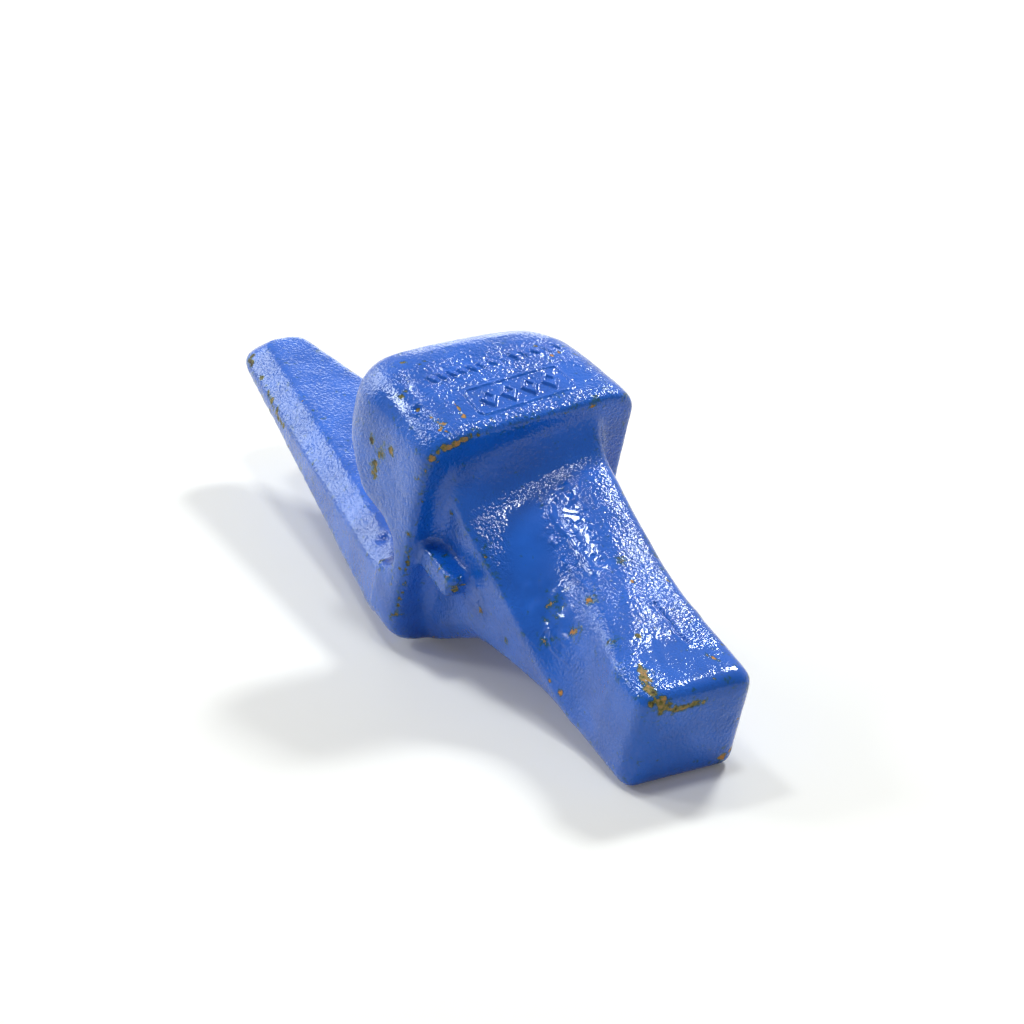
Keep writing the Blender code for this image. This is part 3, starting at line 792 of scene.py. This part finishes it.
# %% Lamps
LAMP_DISTANCE = 2.4
LAMPS = (
    ("soft box", 113, 51, 0.42, 31),
    ("low left", -158, 20, 0.95, 13),
    ("left spot", -131, 35, 0.46, 12),
    ("above", -7, 77, 0.32, 15),
    ("high left", -152, 67, 0.36, 13),
    ("back", 150, 10, 0.70, 4),
)
LAMP_COLOUR = (0.88, 0.97, 1.0)


def lamp(name, turn, rise, size, power):
    """Square lamp seen from the origin at an angle round Z and a rise above the floor, in degrees."""
    data = bpy.data.lights.new(name, "AREA")
    data.size = size
    data.energy = power
    data.color = LAMP_COLOUR
    spot = bpy.data.objects.new(name, data)
    level = cos(radians(rise))
    way = Vector((level * cos(radians(turn)), level * sin(radians(turn)), sin(radians(rise))))
    spot.location = way * LAMP_DISTANCE
    spot.rotation_euler = way.to_track_quat("Z", "Y").to_euler()
    bpy.context.collection.objects.link(spot)


for lamp_values in LAMPS:
    lamp(*lamp_values)
print(len(LAMPS), "lamps with", sum(values[-1] for values in LAMPS), "W together")

# %% [markdown]
# ## Room and floor
# The room is plain white where the camera looks at it. For the light it gives and for what the
# paint mirrors it is white behind the casting and dimmer in front of it, where the photographer
# stood. The floor glows a little for the camera and in reflections, so it stays white far away,
# and it still takes the casting's shadow.

# %% Room and floor
BACKDROP_WAY = (-0.88, 0.47, 0.0)
LIGHT_FRONT = 0.24
LIGHT_BACK = 0.16
MIRROR_FRONT = 0.35
MIRROR_BACK = 0.8
FLOOR_COLOUR = (0.88, 0.82, 0.765, 1)
FLOOR_GLOW = 0.07
FLOOR_HALF = 4.0
TURN_START, TURN_END = -0.35, 0.45


def blend_numbers(tree, share, first, second):
    """First where the share is 0 and second where it is 1."""
    made = add_node(tree, "ShaderNodeMix", data_type="FLOAT")
    for socket, value in ((made.inputs[0], share), (made.inputs[2], first), (made.inputs[3], second)):
        if isinstance(value, bpy.types.NodeSocket):
            tree.links.new(value, socket)
        else:
            socket.default_value = value
    return made.outputs[0]


def mirrored(path):
    """1 for rays that a shiny or a clear surface sent on."""
    return calculate(path.id_data, "MAXIMUM", path.outputs["Is Glossy Ray"],
                     path.outputs["Is Transmission Ray"])


room = bpy.data.worlds.new("room")
room.use_nodes = True
bpy.context.scene.world = room
room_tree = room.node_tree
path = add_node(room_tree, "ShaderNodeLightPath")
way = add_node(room_tree, "ShaderNodeTexCoord").outputs["Generated"]
along = add_node(room_tree, "ShaderNodeVectorMath", {0: way, 1: BACKDROP_WAY},
                 operation="DOT_PRODUCT").outputs["Value"]
behind = step_between(room_tree, along, TURN_START, TURN_END)
light = blend_numbers(room_tree, behind, LIGHT_FRONT, LIGHT_BACK)
mirror = blend_numbers(room_tree, behind, MIRROR_FRONT, MIRROR_BACK)
strength = blend_numbers(room_tree, mirrored(path), light, mirror)
strength = blend_numbers(room_tree, path.outputs["Is Camera Ray"], strength, 1.0)
background = room_tree.nodes["Background"]
background.inputs["Color"].default_value = (1, 1, 1, 1)
room_tree.links.new(strength, background.inputs["Strength"])

floor_paint = bpy.data.materials.new("floor_white")
floor_paint.use_nodes = True
floor_tree = floor_paint.node_tree
floor_shader = floor_tree.nodes["Principled BSDF"]
floor_shader.inputs["Base Color"].default_value = FLOOR_COLOUR
floor_shader.inputs["Roughness"].default_value = 0.6
floor_shader.inputs["Emission Color"].default_value = (1, 1, 1, 1)
path = add_node(floor_tree, "ShaderNodeLightPath")
visible = calculate(floor_tree, "MAXIMUM", path.outputs["Is Camera Ray"], mirrored(path))
floor_tree.links.new(calculate(floor_tree, "MULTIPLY", visible, FLOOR_GLOW),
                     floor_shader.inputs["Emission Strength"])
floor_mesh = bpy.data.meshes.new("floor")
corners = [(x * FLOOR_HALF, y * FLOOR_HALF, 0) for x, y in ((-1, -1), (1, -1), (1, 1), (-1, 1))]
floor_mesh.from_pydata(corners, [], [(0, 1, 2, 3)])
floor_mesh.materials.append(floor_paint)
floor = bpy.data.objects.new("floor", floor_mesh)
bpy.context.collection.objects.link(floor)
bpy.context.scene.view_settings.view_transform = "Standard"
print("floor is", 2 * FLOOR_HALF, "m wide")
